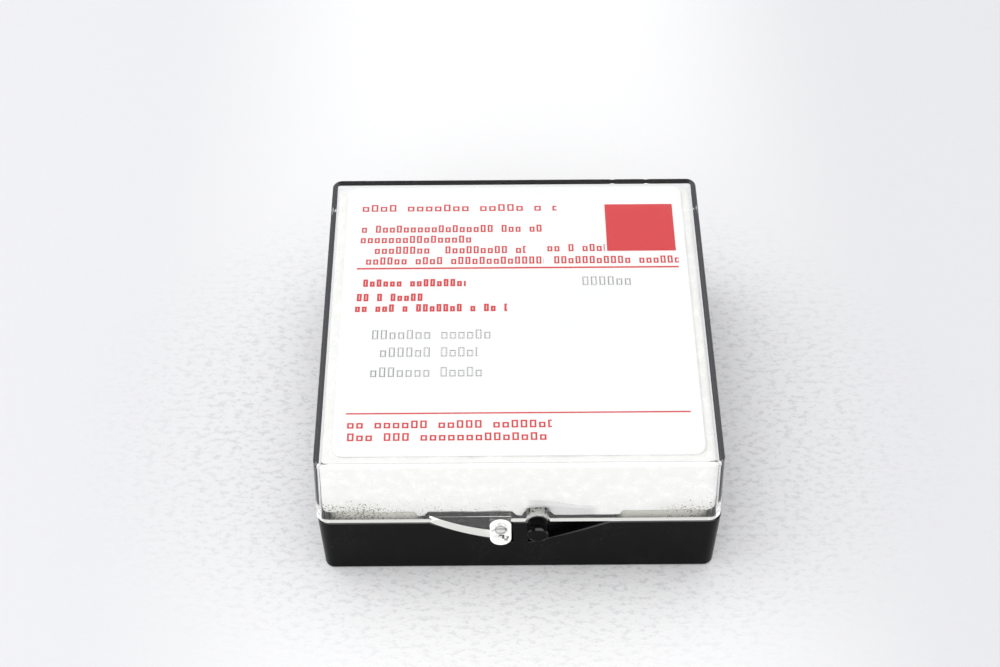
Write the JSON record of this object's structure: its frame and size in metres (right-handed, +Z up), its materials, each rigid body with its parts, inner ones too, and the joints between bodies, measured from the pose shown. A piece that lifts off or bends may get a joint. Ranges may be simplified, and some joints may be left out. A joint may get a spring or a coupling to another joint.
{
  "type": "hinged optics storage box",
  "caption": "Square hinged box with a black tray, a clear lid over a card and white foam, a friction latch with studs, and a ring-mounted optical filter bedded inside.",
  "frame": {"origin": "middle of the flat underside of the tray, which stands on the table", "axes": "+Z up, +Y towards the hinge at the back, +X to the right seen from the latch at the front"},
  "size_m": [0.0668, 0.0727, 0.028],
  "materials": {
    "black_styrene": "gloss",
    "clear_styrene": "gloss",
    "card": "matte",
    "foam": "matte",
    "black_anodised": "satin",
    "filter_coating": "polished"
  },
  "bodies": {
    "tray": {"base_tray": "black_styrene", "bottom_pad": "foam", "pocket_layer": "foam", "filter_cell": "black_anodised", "filter_glass": "filter_coating", "retaining_ring": "black_anodised"},
    "cover": {"lid": "clear_styrene", "label_card": "card", "lid_pad": "foam"}
  },
  "joints": [
    {"name": "lid_hinge", "type": "hinge", "parent": "tray", "child": "cover", "pos_m": [0, 0.03475, 0.01335], "axis": [-1, 0, 0], "range_deg": [0, 115]}
  ]
}
